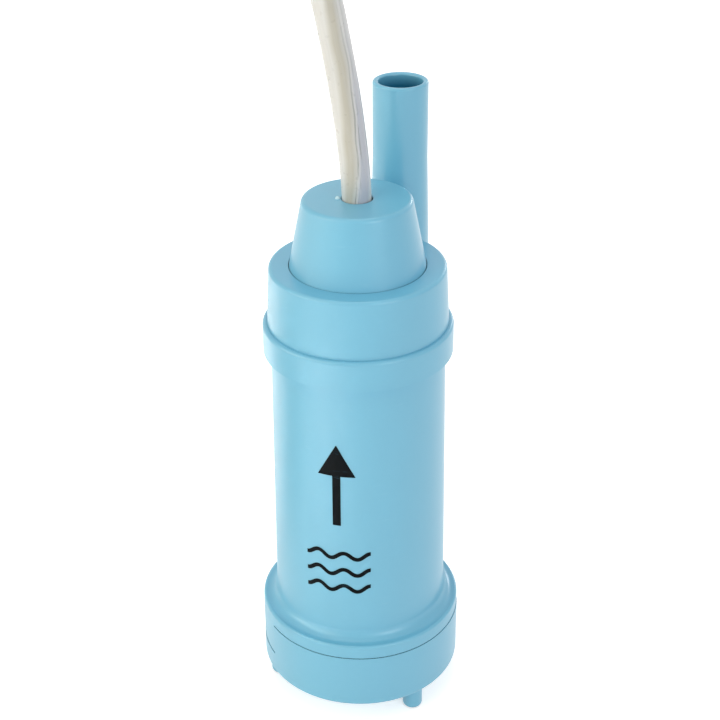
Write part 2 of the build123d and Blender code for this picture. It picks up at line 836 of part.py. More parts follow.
# Lip seal in the web, held by a pressed steel ring
seal_low = neck_z + web_thickness / 2
with BuildPart() as shaft_seal:
    with BuildSketch(Plane.XZ):
        with BuildLine():
            Polyline(
                (seal_radius, seal_low),
                (seal_radius, seal_low + seal_length),
                (seal_radius - seal_lip, seal_low + seal_length),
                (seal_radius - seal_lip, seal_low + seal_lip),
                (shaft_radius + 2 * running_gap, seal_low + seal_length - seal_lip),
                (shaft_radius + 2 * running_gap, seal_low + seal_lip / 2),
                (shaft_radius + seal_lip, seal_low),
                close=True,
            )
        make_face()
    revolve(axis=Axis.Z)
shaft_seal.part.label = "shaft_seal"
export_step(shaft_seal.part, "parts/shaft_seal.step")

with BuildPart() as keeper:
    with BuildSketch(Plane.XY.offset(seal_low + seal_length)):
        Circle(seal_radius)
        Circle(seal_radius - seal_lip, mode=Mode.SUBTRACT)
    extrude(amount=keeper_thickness)
keeper.part.label = "seal_keeper"
export_step(keeper.part, "parts/seal_keeper.step")

# Base cover with the volute, the intake hole and three feet
cover_top = cover_height - seam_gap
notch_radius = flange_radius - tongue_thickness - slide_gap
notch_width = tongue_span_angle + 2 * degrees(seam_gap / flange_radius)

with BuildPart() as cover:
    with BuildSketch():
        Circle(cover_radius)
    extrude(amount=cover_top)
    fillet(cover.edges().filter_by_position(Axis.Z, 0, 0), cover_edge)
    with BuildSketch(Plane.XY.offset(floor_z)):
        with PolarLocations(cover_radius - foot_inset - foot_radius, foot_count, start_angle=foot_angle):
            Circle(foot_radius)
    extrude(amount=foot_height + cover_floor)
    fillet(cover.edges().filter_by_position(Axis.Z, floor_z, floor_z), foot_round)
    with BuildSketch(Plane.XY.offset(neck_z)):
        Circle(neck_radius + slide_gap)
    extrude(amount=cover_top - neck_z, mode=Mode.SUBTRACT)
    with BuildSketch(Plane.XY.offset(cover_floor)):
        with BuildLine():
            spiral_radius = impeller_radius + cutwater_gap
            step = volute_growth / 4
            centre = Vector(0, 0)
            for quarter in range(4):
                begin = riser_angle + volute_lead_angle + 90 * quarter
                last = CenterArc(centre, spiral_radius, begin, 90)
                if quarter == 0:
                    first = last @ 0
                centre = centre - Vector(*polar(step, begin + 90))
                spiral_radius += step
            Line(last @ 1, first)
        make_face()
    extrude(amount=neck_z - cover_floor, mode=Mode.SUBTRACT)
    with BuildSketch():
        Circle(intake_radius)
    extrude(amount=cover_floor, mode=Mode.SUBTRACT)
    for turn in (0, 180):
        with BuildSketch(Plane.XY.offset(cover_height - tongue_depth - seam_gap)):
            add(ring_sector(notch_radius, cover_radius + overrun, tongue_angle + turn, notch_width))
        extrude(amount=tongue_depth + overrun, mode=Mode.SUBTRACT)
    with BuildSketch(Plane.XZ):
        with BuildLine():
            Polyline(
                (intake_radius, 0),
                (intake_radius + intake_chamfer, 0),
                (intake_radius, intake_chamfer),
                close=True,
            )
        make_face()
    revolve(axis=Axis.Z, mode=Mode.SUBTRACT)
cover.part.label = "intake_cover"
export_step(cover.part, "parts/intake_cover.step")
print("intake_cover", round(cover.part.volume), len(cover.part.solids()))

# Inner leads from the end of the sheath to the terminals
sheath_z = deck_low - sheath_tail
lead_x = terminal_reach + terminal_thickness / 2 + lead_radius
lead_low = bell_top + terminal_height - lead_lap
lead_run = lead_bend + lead_radius
brown_shape = [
    (core_spread, 0, sheath_z),
    (core_spread, 0, sheath_z - lead_run),
    (lead_x, 0, lead_low + lead_run),
    (lead_x, 0, lead_low),
]
blue_shape = [(-x, y, z) for x, y, z in brown_shape]

with BuildPart() as brown_lead:
    with BuildLine() as brown_path:
        FilletPolyline(*brown_shape, radius=lead_bend)
    with BuildSketch(Plane(origin=brown_path.line @ 0, z_dir=brown_path.line % 0)):
        Circle(lead_radius)
    sweep()
brown_lead.part.label = "brown_lead"
export_step(brown_lead.part, "parts/brown_lead.step")

with BuildPart() as blue_lead:
    with BuildLine() as blue_path:
        FilletPolyline(*blue_shape, radius=lead_bend)
    with BuildSketch(Plane(origin=blue_path.line @ 0, z_dir=blue_path.line % 0)):
        Circle(lead_radius)
    sweep()
blue_lead.part.label = "blue_lead"
export_step(blue_lead.part, "parts/blue_lead.step")

# Free lead: out of the cone, over to the left and down to the top of its coil
low_z = floor_z + tie_thickness + cable_radius
high_z = low_z + (layer_count - 1) * layer_pitch
lane_radius = fold_radius + lane_pitch
left_x = -hank_reach - hank_straight / 2
right_x = -hank_reach + hank_straight / 2
begin_x = left_x + 2 * cable_radius
route = [(0, 0, sheath_z)]
for x_share, y_share, z_share in route_shares:
    route.append(
        (
            -x_share * hank_reach,
            -y_share * lane_radius,
            high_z + z_share * (sheath_z - high_z),
        )
    )
route.append((begin_x, -lane_radius, high_z))


def bend_radii(points):
    # The radius of each corner: a share of the shorter run beside it, laid round half the turn.
    radii = []
    for before, here, after in zip(points, points[1:], points[2:]):
        run_in = Vector(*here) - Vector(*before)
        run_out = Vector(*after) - Vector(*here)
        half_turn = radians(run_in.get_angle(run_out)) / 2
        radii.append(bend_share * min(run_in.length, run_out.length) / tan(half_turn))
    return radii


radii = bend_radii(route)
print("bend radii", [round(value, 1) for value in radii])
with BuildPart() as cable:
    with BuildLine() as cable_path:
        FilletPolyline(*route, radius=radii)
    with BuildSketch(Plane(origin=cable_path.line @ 0, z_dir=cable_path.line % 0)):
        Circle(cable_radius)
    sweep()
cable.part.label = "cable_run"
export_step(cable.part, "parts/cable_run.step")
print("cable_run", round(cable.part.volume), round(cable_path.wires()[0].length))

# Hank of the lead: two lanes on each side, four layers, the way down along a straight
with BuildPart() as coil:
    with BuildLine() as coil_path:
        place = Vector(begin_x, -lane_radius, high_z)
        lanes = len(hank_lanes)
        for number, lane in enumerate(hank_lanes):
            heading = 1 if number % 2 else -1
            end_x = right_x if heading > 0 else left_x
            down = layer_pitch if number % 3 == 2 and number < lanes - 1 else 0
            end = Vector(end_x, place.Y, place.Z - down)
            if down:
                half_way = (place + end) / 2
                first_bend = TangentArc(place, half_way, tangent=(heading, 0, 0))
                TangentArc(half_way, end, tangent=first_bend % 1)
            else:
                Line(place, end)
            place = end
            if number < lanes - 1:
                next_y = heading * -(fold_radius + (1 - hank_lanes[number + 1]) * lane_pitch)
                fold_end = Vector(end_x, next_y, end.Z)
                TangentArc(end, fold_end, tangent=(heading, 0, 0))
                place = fold_end
    hank_wire = coil_path.wires()[0]
    with BuildSketch(Plane(origin=hank_wire @ 0, z_dir=hank_wire % 0)):
        Circle(cable_radius)
    sweep(path=hank_wire)
coil.part.label = "cable_coil"
export_step(coil.part, "parts/cable_coil.step")

# Least gap of the hank to itself, measured on points along its line
sample_count = int(hank_wire.length / sample_step)
samples = [tuple(hank_wire @ (number / sample_count)) for number in range(sample_count + 1)]
apart = int(fold_radius / sample_step)
least = min(
    dist(samples[one], samples[two])
    for one in range(len(samples))
    for two in range(one + apart, len(samples))
)
least_gap = round(least - 2 * cable_radius, 2)
print("cable_coil", len(coil.part.solids()), round(hank_wire.length), "least gap", least_gap)

# Tie round the far side of the hank
tie_near = fold_radius - cable_radius - tie_gap
tie_far = lane_radius + cable_radius + tie_gap
tie_low = floor_z + tie_thickness
tie_high = high_z + cable_radius + tie_gap
tie_y = (tie_near + tie_far) / 2

with BuildPart() as tie:
    with BuildSketch(Plane.YZ.offset(-hank_reach)):
        with Locations((tie_y, (tie_low + tie_high) / 2)):
            RectangleRounded(
                tie_far - tie_near + 2 * tie_thickness,
                tie_high - tie_low + 2 * tie_thickness,
                tie_bend + tie_thickness,
            )
            RectangleRounded(tie_far - tie_near, tie_high - tie_low, tie_bend, mode=Mode.SUBTRACT)
    extrude(amount=tie_width / 2, both=True)
    with Locations((-hank_reach, tie_y, tie_high + tie_head_height / 2)):
        Box(tie_head, tie_head, tie_head_height)
    fillet(tie.faces().sort_by(Axis.Z)[-1].edges(), tie_thickness)
tie.part.label = "coil_tie"
export_step(tie.part, "parts/coil_tie.step")
print("coil_tie", len(tie.part.solids()))

# Stripped end of the lead: two cores and their bare strands, laid down to the floor
core_x = right_x
core_drop = floor_z + lead_radius
for colour, side in (("brown", 1), ("blue", -1)):
    core_y = lane_radius + side * core_spread
    with BuildPart() as stripped:
        with BuildLine() as stripped_path:
            FilletPolyline(
                (core_x, core_y, low_z),
                (core_x + stripped_length / 4, core_y, low_z),
                (core_x + 3 * stripped_length / 4, core_y, core_drop),
                (core_x + stripped_length, core_y, core_drop),
                radius=2 * lead_bend,
            )
        with BuildSketch(Plane(origin=stripped_path.line @ 0, z_dir=stripped_path.line % 0)):
            Circle(lead_radius)
        sweep()
    stripped.part.label = colour + "_core"
    export_step(stripped.part, "parts/" + colour + "_core.step")
    with BuildPart() as strands:
        with BuildSketch(Plane(origin=(core_x + stripped_length, core_y, core_drop), z_dir=(1, 0, 0))):
            Circle(strand_radius)
        extrude(amount=strand_length)
    strands.part.label = colour + "_strands"
    export_step(strands.part, "parts/" + colour + "_strands.step")
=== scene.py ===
# A caravan's submersible water pump with its lead: finishes, cord, print, light and camera
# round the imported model. Metres, Z up the pump's axis, the print side towards -Y.

import math

import bmesh
import bpy
from mathutils import Matrix, Vector


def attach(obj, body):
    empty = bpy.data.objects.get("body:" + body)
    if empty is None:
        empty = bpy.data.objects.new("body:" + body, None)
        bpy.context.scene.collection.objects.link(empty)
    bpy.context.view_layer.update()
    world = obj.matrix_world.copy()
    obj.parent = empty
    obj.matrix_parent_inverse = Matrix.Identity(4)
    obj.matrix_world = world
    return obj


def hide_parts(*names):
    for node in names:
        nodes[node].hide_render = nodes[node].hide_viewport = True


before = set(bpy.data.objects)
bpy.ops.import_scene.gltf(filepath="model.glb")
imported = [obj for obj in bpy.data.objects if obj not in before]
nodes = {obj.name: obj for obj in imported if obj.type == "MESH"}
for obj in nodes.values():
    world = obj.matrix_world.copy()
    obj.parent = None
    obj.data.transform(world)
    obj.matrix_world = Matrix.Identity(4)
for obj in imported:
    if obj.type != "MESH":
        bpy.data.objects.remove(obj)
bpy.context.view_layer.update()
scene = bpy.context.scene
print("frame loaded:", len(nodes), "nodes")

# Camera

cameraSettings = {
    "lens": 75.1,
    "sensor": 36.0,
    "nearest": 0.01,
    "place": (0.0, -0.25219, 0.206166),
    "right": (0.99996481, -0.0048705, -0.00683115),
    "up": (0.00832994, 0.47940926, 0.87755192),
}


def placeCamera(settings):
    data = bpy.data.cameras.new("photoCamera")
    data.lens = settings["lens"]
    data.sensor_width = settings["sensor"]
    data.sensor_fit = "HORIZONTAL"
    data.clip_start = settings["nearest"]
    camera = bpy.data.objects.new("photoCamera", data)
    scene.collection.objects.link(camera)
    right = Vector(settings["right"]).normalized()
    up = Vector(settings["up"]).normalized()
    turn = Matrix((right, up, right.cross(up))).transposed().to_4x4()
    camera.matrix_world = Matrix.Translation(settings["place"]) @ turn
    scene.camera = camera


placeCamera(cameraSettings)
print("camera placed")

# Node groups shared by the finishes

noiseRange = (0.3, 0.7)  # nearly all values of a noise lie between these


def feed(tree, value, socket):
    # A number, colour or vector is set on the socket, and an output is linked to it.
    if isinstance(value, (int, float, tuple)):
        socket.default_value = value
    else:
        tree.links.new(value, socket)


def addNoise(tree, place, scale, detail, roughness, stretch=None):
    if stretch is not None:
        mapping = tree.nodes.new("ShaderNodeMapping")
        feed(tree, stretch, mapping.inputs["Scale"])
        tree.links.new(place, mapping.inputs["Vector"])
        place = mapping.outputs["Vector"]
    noise = tree.nodes.new("ShaderNodeTexNoise")
    tree.links.new(place, noise.inputs["Vector"])
    noise.inputs["Scale"].default_value = scale
    noise.inputs["Detail"].default_value = detail
    noise.inputs["Roughness"].default_value = roughness
    return noise.outputs["Fac"]


def addCells(tree, place, scale):
    cells = tree.nodes.new("ShaderNodeTexVoronoi")
    cells.inputs["Scale"].default_value = scale
    tree.links.new(place, cells.inputs["Vector"])
    return cells.outputs["Distance"], cells.outputs["Color"]


def addMath(tree, kind, first, second=0.0, clamp=False):
    node = tree.nodes.new("ShaderNodeMath")
    node.operation = kind
    node.use_clamp = clamp
    feed(tree, first, node.inputs[0])
    feed(tree, second, node.inputs[1])
    return node.outputs[0]


def addRange(tree, value, fromLow, fromHigh, toLow, toHigh):
    node = tree.nodes.new("ShaderNodeMapRange")
    ends = {"Value": value, "From Min": fromLow, "From Max": fromHigh, "To Min": toLow, "To Max": toHigh}
    for label, end in ends.items():
        feed(tree, end, node.inputs[label])
    return node.outputs["Result"]


def addMix(tree, share, first, second, blend="MIX"):
    node = tree.nodes.new("ShaderNodeMix")
    node.data_type = "RGBA"
    node.blend_type = blend
    for number, value in ((0, share), (6, first), (7, second)):  # the colour sockets are 6 and 7
        feed(tree, value, node.inputs[number])
    return node.outputs[2]


def addBump(tree, height, strength, distance):
    bump = tree.nodes.new("ShaderNodeBump")
    feed(tree, strength, bump.inputs["Strength"])
    feed(tree, distance, bump.inputs["Distance"])
    tree.links.new(height, bump.inputs["Height"])
    return bump.outputs["Normal"]


def newSurface(name, inputs):
    # An empty group with its own inputs that puts out a colour, a roughness and a normal.
    group = bpy.data.node_groups.new(name, "ShaderNodeTree")
    for label, kind, value in inputs:
        socket = group.interface.new_socket(label, in_out="INPUT", socket_type="NodeSocket" + kind)
        socket.default_value = value
    for label, kind in (("Color", "Color"), ("Roughness", "Float"), ("Normal", "Vector")):
        group.interface.new_socket(label, in_out="OUTPUT", socket_type="NodeSocket" + kind)
    given = group.nodes.new("NodeGroupInput").outputs
    return group, given, group.nodes.new("NodeGroupOutput").inputs


mouldedLook = {
    "slowNoise": (38.0, 2.0, 0.5),  # each noise: scale, detail, roughness
    "flowNoise": (120.0, 1.0, 0.4),
    "flowStretch": (1.0, 1.0, 0.15),
    "grainNoise": (2600.0, 2.0, 0.5),
    "scuffNoise": (700.0, 4.0, 0.65),
    "scuffStretch": (0.25, 1.0, 2.2),
    "scuffRange": (0.62, 0.8),
    "scuffRoughness": 0.25,
    "speckCells": 110.0,
    "emptyCells": 0.88,  # share of the cells that hold no speck
    "largestSpeck": 0.03,
    # painted shade inside a bore: where it starts and ends in shares of the bore's depth, and how dark it
    # gets
    "boreShadeFade": (0.1, 1.0),
    "boreShadeDarkness": 0.9,
    # painted shade in narrow gaps and seams: how far the occlusion reaches, the range over which it
    # darkens, and its samples
    "creviceReach": 0.0012,
    "creviceRange": (0.25, 0.5),
    "creviceSamples": 4,
    "slowRelief": 3.0,
    "reliefDepth": 0.0001,
}


def makeMouldedSurface(look):
    # Slow mottle of the pigment, soft flow bands, fine grain, the odd scuff and speck, a painted shade
    #  that darkens a bore inwards, and painted shade in narrow gaps.
    group, given, out = newSurface(
        "mouldedSurface",
        [
            ("Color", "Color", (0.5, 0.5, 0.5, 1)),
            ("Scuff Color", "Color", (0.8, 0.8, 0.8, 1)),
            ("Speck Color", "Color", (0.03, 0.05, 0.06, 1)),
            ("Bore Shade Color", "Color", (0.0, 0.15, 0.3, 1)),
            ("Mottle", "Float", 0.04),
            ("Scuffs", "Float", 0.2),
            ("Specks", "Float", 0.0),
            ("Low Roughness", "Float", 0.3),
            ("High Roughness", "Float", 0.45),
            ("Grain", "Float", 0.1),
            ("Bore Place", "Vector", (0.0, 0.0, 0.0)),
            ("Bore Radius", "Float", 0.0),
            ("Bore Depth", "Float", 0.004),
            ("Crevice Shade Color", "Color", (0.0, 0.03, 0.05, 1)),
            ("Crevice Shading", "Float", 0.0),
        ],
    )
    place = group.nodes.new("ShaderNodeTexCoord").outputs["Object"]
    slow = addNoise(group, place, *look["slowNoise"])
    flow = addNoise(group, place, *look["flowNoise"], stretch=look["flowStretch"])
    grain = addNoise(group, place, *look["grainNoise"])
    scratch = addNoise(group, place, *look["scuffNoise"], stretch=look["scuffStretch"])
    swing = addMath(group, "SUBTRACT", addMath(group, "ADD", slow, flow), 1.0)
    level = addMath(group, "ADD", addMath(group, "MULTIPLY", swing, given["Mottle"]), 1.0)
    gray = group.nodes.new("ShaderNodeCombineColor")
    for socket in gray.inputs[:3]:
        group.links.new(level, socket)
    tinted = addMix(group, 1.0, given["Color"], gray.outputs[0], "MULTIPLY")
    scuffMask = addRange(group, scratch, *look["scuffRange"], 0.0, 1.0)
    scuffs = addMath(group, "MULTIPLY", scuffMask, given["Scuffs"], clamp=True)
    scuffed = addMix(group, scuffs, tinted, given["Scuff Color"])

    toMiddle, cellColor = addCells(group, place, look["speckCells"])
    chance = group.nodes.new("ShaderNodeSeparateColor")
    group.links.new(cellColor, chance.inputs[0])
    picked = addMath(group, "GREATER_THAN", chance.outputs["Red"], look["emptyCells"])
    size = addMath(group, "MULTIPLY", chance.outputs["Green"], look["largestSpeck"])
    speck = addMath(group, "MULTIPLY", picked, addMath(group, "LESS_THAN", toMiddle, size))
    specks = addMath(group, "MULTIPLY", speck, given["Specks"])
    specked = addMix(group, specks, scuffed, given["Speck Color"])

    # Painted shade: inside the given bore the colour darkens with depth, where the bore lies in shadow.
    fromBore = group.nodes.new("ShaderNodeVectorMath")
    fromBore.operation = "SUBTRACT"
    group.links.new(place, fromBore.inputs[0])
    group.links.new(given["Bore Place"], fromBore.inputs[1])
    apart = group.nodes.new("ShaderNodeSeparateXYZ")
    group.links.new(fromBore.outputs[0], apart.inputs[0])
    squares = [addMath(group, "POWER", apart.outputs[axis], 2.0) for axis in ("X", "Y")]
    reach = addMath(group, "SQRT", addMath(group, "ADD", *squares))
    inside = addMath(group, "LESS_THAN", reach, given["Bore Radius"])
    down = addMath(group, "MULTIPLY", apart.outputs["Z"], -1.0)
    depth = addMath(group, "DIVIDE", down, given["Bore Depth"])
    fade = addRange(group, depth, *look["boreShadeFade"], 0.0, look["boreShadeDarkness"])
    boreShaded = addMix(group, addMath(group, "MULTIPLY", inside, fade), specked, given["Bore Shade Color"])

    # Painted shade: ambient occlusion darkens the colour in narrow gaps and seams, where shade falls.
    shelter = group.nodes.new("ShaderNodeAmbientOcclusion")
    shelter.samples = look["creviceSamples"]
    shelter.inputs["Distance"].default_value = look["creviceReach"]
    hidden = addRange(group, shelter.outputs["AO"], *look["creviceRange"], 1.0, 0.0)
    creviceShade = addMath(group, "MULTIPLY", hidden, given["Crevice Shading"])
    group.links.new(addMix(group, creviceShade, boreShaded, given["Crevice Shade Color"]), out["Color"])

    roughness = addRange(group, flow, *noiseRange, given["Low Roughness"], given["High Roughness"])
    duller = addMath(group, "MULTIPLY", scuffs, look["scuffRoughness"])
    group.links.new(addMath(group, "ADD", roughness, duller), out["Roughness"])
    height = addMath(group, "ADD", grain, addMath(group, "MULTIPLY", slow, look["slowRelief"]))
    group.links.new(addBump(group, height, given["Grain"], look["reliefDepth"]), out["Normal"])
    return group


workedLook = {
    "streakNoise": (700.0, 4.0, 0.7),
    "patchNoise": (260.0, 4.0, 0.6),
    "patchRange": (0.45, 0.75),
    "pitCells": 2200.0,
    "pitReach": 0.25,
    "pitRelief": 0.3,
    "reliefDepth": 0.00005,
}


def makeWorkedMetal(look):
    # Drawn or rolled metal: streaks along one way, small pits and a patchy oxide.
    group, given, out = newSurface(
        "workedMetal",
        [
            ("Color", "Color", (0.5, 0.5, 0.5, 1)),
            ("Oxide Color", "Color", (0.3, 0.3, 0.3, 1)),
            ("Oxide", "Float", 0.2),
            ("Streak Scale", "Vector", (1.0, 1.0, 1.0)),
            ("Low Roughness", "Float", 0.25),
            ("High Roughness", "Float", 0.45),
            ("Relief", "Float", 0.2),
        ],
    )
    place = group.nodes.new("ShaderNodeTexCoord").outputs["Object"]
    streak = addNoise(group, place, *look["streakNoise"], stretch=given["Streak Scale"])
    patch = addNoise(group, place, *look["patchNoise"])
    toPit = addCells(group, place, look["pitCells"])[0]
    oxide = addRange(group, patch, *look["patchRange"], 0.0, given["Oxide"])
    group.links.new(addMix(group, oxide, given["Color"], given["Oxide Color"]), out["Color"])
    roughness = addRange(group, streak, *noiseRange, given["Low Roughness"], given["High Roughness"])
    group.links.new(roughness, out["Roughness"])
    level = addRange(group, toPit, 0.0, look["pitReach"], 0.0, 1.0)
    height = addMath(group, "ADD", streak, addMath(group, "MULTIPLY", level, look["pitRelief"]))
    group.links.new(addBump(group, height, given["Relief"], look["reliefDepth"]), out["Normal"])
    return group


bandedLook = {
    "driftNoise": (150.0, 2.0, 0.5),
    "grooveWidth": 0.45,
    "roughness": (0.25, 0.45),
    "reliefDepth": 0.0001,
}


def makeBandedLayers(look):
    # Bands a wire's thickness apart, for wound copper and for stacked sheets.
    group, given, out = newSurface(
        "bandedLayers",
        [
            ("Color", "Color", (0.5, 0.5, 0.5, 1)),
            ("Groove Color", "Color", (0.1, 0.1, 0.1, 1)),
            ("Band Width", "Float", 0.0004),
            ("Wobble", "Float", 0.3),
            ("Depth", "Float", 0.5),
        ],
    )
    place = group.nodes.new("ShaderNodeTexCoord").outputs["Object"]
    split = group.nodes.new("ShaderNodeSeparateXYZ")
    group.links.new(place, split.inputs[0])
    drift = addNoise(group, place, *look["driftNoise"])
    turns = addMath(group, "DIVIDE", split.outputs["Z"], given["Band Width"])
    wobble = addMath(group, "MULTIPLY", drift, given["Wobble"])
    angle = addMath(group, "MULTIPLY", addMath(group, "ADD", turns, wobble), 2 * math.pi)
    ridge = addRange(group, addMath(group, "SINE", angle), -1.0, 1.0, 0.0, 1.0)
    groove = addRange(group, ridge, 0.0, look["grooveWidth"], 1.0, 0.0)
    group.links.new(addMix(group, groove, given["Color"], given["Groove Color"]), out["Color"])
    group.links.new(addRange(group, drift, *noiseRange, *look["roughness"]), out["Roughness"])
    group.links.new(addBump(group, ridge, given["Depth"], look["reliefDepth"]), out["Normal"])
    return group


mouldedSurface = makeMouldedSurface(mouldedLook)
workedMetal = makeWorkedMetal(workedLook)
bandedLayers = makeBandedLayers(bandedLook)
print("node groups made")

# Finishes


def makeFinish(name, group, values, metallic=0.0, coat=0.0, coatRoughness=0.2, specular=0.5):
    material = bpy.data.materials.new(name)
    material.use_nodes = True
    tree = material.node_tree
    shader = tree.nodes["Principled BSDF"]
    surface = tree.nodes.new("ShaderNodeGroup")
    surface.node_tree = group
    for label, value in values.items():
        surface.inputs[label].default_value = value
    tree.links.new(surface.outputs["Color"], shader.inputs["Base Color"])
    tree.links.new(surface.outputs["Roughness"], shader.inputs["Roughness"])
    tree.links.new(surface.outputs["Normal"], shader.inputs["Normal"])
    shader.inputs["Metallic"].default_value = metallic
    shader.inputs["Coat Weight"].default_value = coat
    shader.inputs["Coat Roughness"].default_value = coatRoughness
    shader.inputs["Specular IOR Level"].default_value = specular
    return material


skyValues = {
    "Color": (0.15, 0.455, 0.63, 1),
    "Scuff Color": (0.4, 0.66, 0.78, 1),
    "Mottle": 0.05,
    "Scuffs": 0.1,
    "Specks": 0.8,
    "Low Roughness": 0.3,
    "High Roughness": 0.38,
    "Grain": 0.1,
    "Crevice Shading": 0.9,
}
skySkin = {"coat": 0.12, "specular": 0.75}
# Place, radius and depth of the spigot's bore, which gets painted shade inside.
spigotBoreShade = {"Bore Place": (0.00825, 0.0177, 0.118), "Bore Radius": 0.0044, "Bore Depth": 0.0025}
# The cap and the cone take a weaker painted shade in their seams.
softSeamShade = {"Crevice Shading": 0.35}
skyPlastic = makeFinish("skyPlastic", mouldedSurface, skyValues, **skySkin)
capPlastic = makeFinish("capPlastic", mouldedSurface, skyValues | spigotBoreShade | softSeamShade, **skySkin)
conePlastic = makeFinish("conePlastic", mouldedSurface, skyValues | softSeamShade, **skySkin)
tiePlastic = makeFinish(
    "tiePlastic",
    mouldedSurface,
    {
        "Color": (0.018, 0.018, 0.02, 1),
        "Scuff Color": (0.12, 0.12, 0.12, 1),
        "Mottle": 0.2,
        "Scuffs": 0.4,
        "Low Roughness": 0.35,
        "High Roughness": 0.5,
        "Grain": 0.3,
    },
)
creamPlastic = makeFinish(
    "creamPlastic",
    mouldedSurface,
    {
        "Color": (0.72, 0.69, 0.6, 1),
        "Scuff Color": (0.55, 0.52, 0.45, 1),
        "Mottle": 0.06,
        "Scuffs": 0.3,
        "Low Roughness": 0.45,
        "High Roughness": 0.6,
        "Grain": 0.3,
    },
)
impellerPlastic = makeFinish(
    "impellerPlastic",
    mouldedSurface,
    {
        "Color": (0.78, 0.79, 0.77, 1),
        "Scuff Color": (0.6, 0.62, 0.6, 1),
        "Mottle": 0.05,
        "Scuffs": 0.35,
        "Low Roughness": 0.35,
        "High Roughness": 0.5,
        "Grain": 0.25,
    },
)
blackRubber = makeFinish(
    "blackRubber",
    mouldedSurface,
    {
        "Color": (0.022, 0.022, 0.023, 1),
        "Scuff Color": (0.09, 0.09, 0.09, 1),
        "Mottle": 0.3,
        "Scuffs": 0.5,
        "Low Roughness": 0.6,
        "High Roughness": 0.8,
        "Grain": 0.6,
    },
)
ferrite = makeFinish(
    "ferrite",
    mouldedSurface,
    {
        "Color": (0.035, 0.035, 0.04, 1),
        "Scuff Color": (0.12, 0.12, 0.13, 1),
        "Mottle": 0.35,
        "Scuffs": 0.5,
        "Low Roughness": 0.5,
        "High Roughness": 0.75,
        "Grain": 0.7,
    },
)
carbon = makeFinish(
    "carbon",
    mouldedSurface,
    {
        "Color": (0.02, 0.02, 0.021, 1),
        "Scuff Color": (0.1, 0.1, 0.11, 1),
        "Mottle": 0.3,
        "Scuffs": 0.7,
        "Low Roughness": 0.3,
        "High Roughness": 0.55,
        "Grain": 0.6,
    },
)
ochreCeramic = makeFinish(
    "ochreCeramic",
    mouldedSurface,
    {
        "Color": (0.55, 0.2, 0.03, 1),
        "Scuff Color": (0.62, 0.34, 0.12, 1),
        "Mottle": 0.15,
        "Scuffs": 0.2,
        "Low Roughness": 0.2,
        "High Roughness": 0.32,
        "Grain": 0.25,
    },
    coat=0.3,
)
zincSteel = makeFinish(
    "zincSteel",
    workedMetal,
    {
        "Color": (0.56, 0.57, 0.58, 1),
        "Oxide Color": (0.34, 0.35, 0.36, 1),
        "Oxide": 0.5,
        "Streak Scale": (1.0, 1.0, 0.06),
        "Low Roughness": 0.3,
        "High Roughness": 0.48,
        "Relief": 0.3,
    },
    metallic=1.0,
)
springSteel = makeFinish(
    "springSteel",
    workedMetal,
    {
        "Color": (0.6, 0.6, 0.61, 1),
        "Oxide Color": (0.36, 0.34, 0.32, 1),
        "Oxide": 0.3,
        "Streak Scale": (1.0, 1.0, 3.0),
        "Low Roughness": 0.15,
        "High Roughness": 0.3,
        "Relief": 0.2,
    },
    metallic=1.0,
)
sinteredBronze = makeFinish(
    "sinteredBronze",
    workedMetal,
    {
        "Color": (0.5, 0.3, 0.13, 1),
        "Oxide Color": (0.24, 0.14, 0.07, 1),
        "Oxide": 0.7,
        "Streak Scale": (1.0, 1.0, 1.0),
        "Low Roughness": 0.4,
        "High Roughness": 0.6,
        "Relief": 0.8,
    },
    metallic=1.0,
)
brass = makeFinish(
    "brass",
    workedMetal,
    {
        "Color": (0.68, 0.5, 0.2, 1),
        "Oxide Color": (0.4, 0.26, 0.1, 1),
        "Oxide": 0.4,
        "Streak Scale": (1.0, 0.1, 1.0),
        "Low Roughness": 0.2,
        "High Roughness": 0.4,
        "Relief": 0.3,
    },
    metallic=1.0,
)
bareCopper = makeFinish(
    "bareCopper",
    workedMetal,
    {
        "Color": (0.72, 0.32, 0.17, 1),
        "Oxide Color": (0.42, 0.16, 0.08, 1),
        "Oxide": 0.4,
        "Streak Scale": (0.1, 1.0, 1.0),
        "Low Roughness": 0.18,
        "High Roughness": 0.35,
        "Relief": 0.3,
    },
    metallic=1.0,
)
woundCopper = makeFinish(
    "woundCopper",
    bandedLayers,
    {
        "Color": (0.62, 0.2, 0.07, 1),
        "Groove Color": (0.12, 0.03, 0.015, 1),
        "Band Width": 0.0005,
        "Wobble": 0.6,
        "Depth": 0.9,
    },
    metallic=0.7,
    coat=0.4,
)
sheetStack = makeFinish(
    "sheetStack",
    bandedLayers,
    {
        "Color": (0.34, 0.34, 0.36, 1),
        "Groove Color": (0.07, 0.07, 0.08, 1),
        "Band Width": 0.0005,
        "Wobble": 0.02,
        "Depth": 0.5,
    },
    metallic=1.0,
)

nodeFinishes = {
    "pump_housing": skyPlastic,
    "top_cap": capPlastic,
    "cable_cone": conePlastic,
    "intake_cover": skyPlastic,
    "cable_seal": blackRubber,
    "seal_disc": creamPlastic,
    "cap_seal_ring": blackRubber,
    "cover_seal_ring": blackRubber,
    "riser_gasket": blackRubber,
    "shaft_seal": blackRubber,
    "seal_keeper": springSteel,
    "motor_can": zincSteel,
    "motor_bell": creamPlastic,
    "motor_cushion": blackRubber,
    "front_bearing": sinteredBronze,
    "rear_bearing": sinteredBronze,
    "field_magnets": ferrite,
    "magnet_spring": springSteel,
    "brushes": carbon,
    "brush_arms": brass,
    "motor_terminals": brass,
    "suppression_capacitor": ochreCeramic,
    "motor_shaft": springSteel,
    "rotor_core": sheetStack,
    "rotor_windings": woundCopper,
    "commutator": bareCopper,
    "impeller": impellerPlastic,
    "impeller_clip": springSteel,
    "thrust_washers": creamPlastic,
    "coil_tie": tiePlastic,
}

for nodeName, finish in nodeFinishes.items():
    mesh = nodes[nodeName].data
    mesh.materials.clear()
    mesh.materials.append(finish)
print("finishes on", len(nodeFinishes), "nodes")

# Printed mark and the stub of the mould's feed

